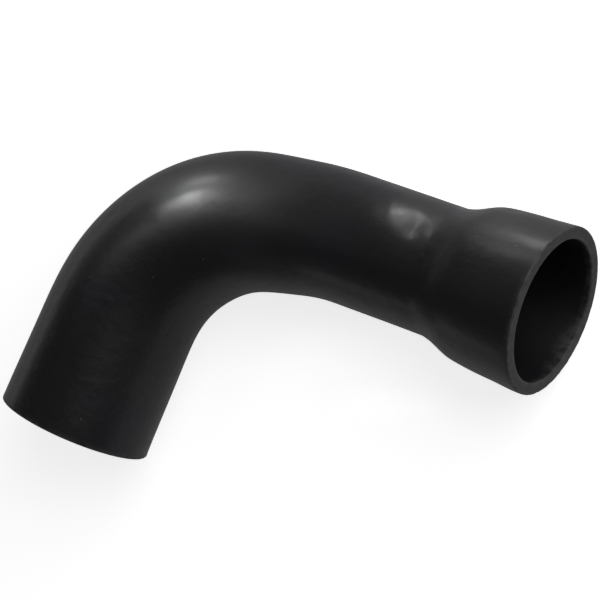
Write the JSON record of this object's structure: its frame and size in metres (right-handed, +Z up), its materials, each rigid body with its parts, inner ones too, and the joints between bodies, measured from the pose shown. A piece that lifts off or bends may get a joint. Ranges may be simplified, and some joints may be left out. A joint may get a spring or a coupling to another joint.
{
  "type": "turbo hose",
  "caption": "Moulded black rubber turbo hose: a belled cuff, a narrow neck and a widening elbow with a plain open end.",
  "frame": {"origin": "under the middle of the hose's box, on the surface that it lies on", "axes": "+X the way the cuff's mouth faces, -Y the way the elbow's open end faces, +Z up, across the plane of the bends"},
  "size_m": [0.2012, 0.1362, 0.0601],
  "materials": {
    "rubber": "satin black moulded rubber, slightly greyer on the trimmed ends"
  },
  "bodies": {
    "root": {"hose": "rubber"}
  },
  "joints": []
}
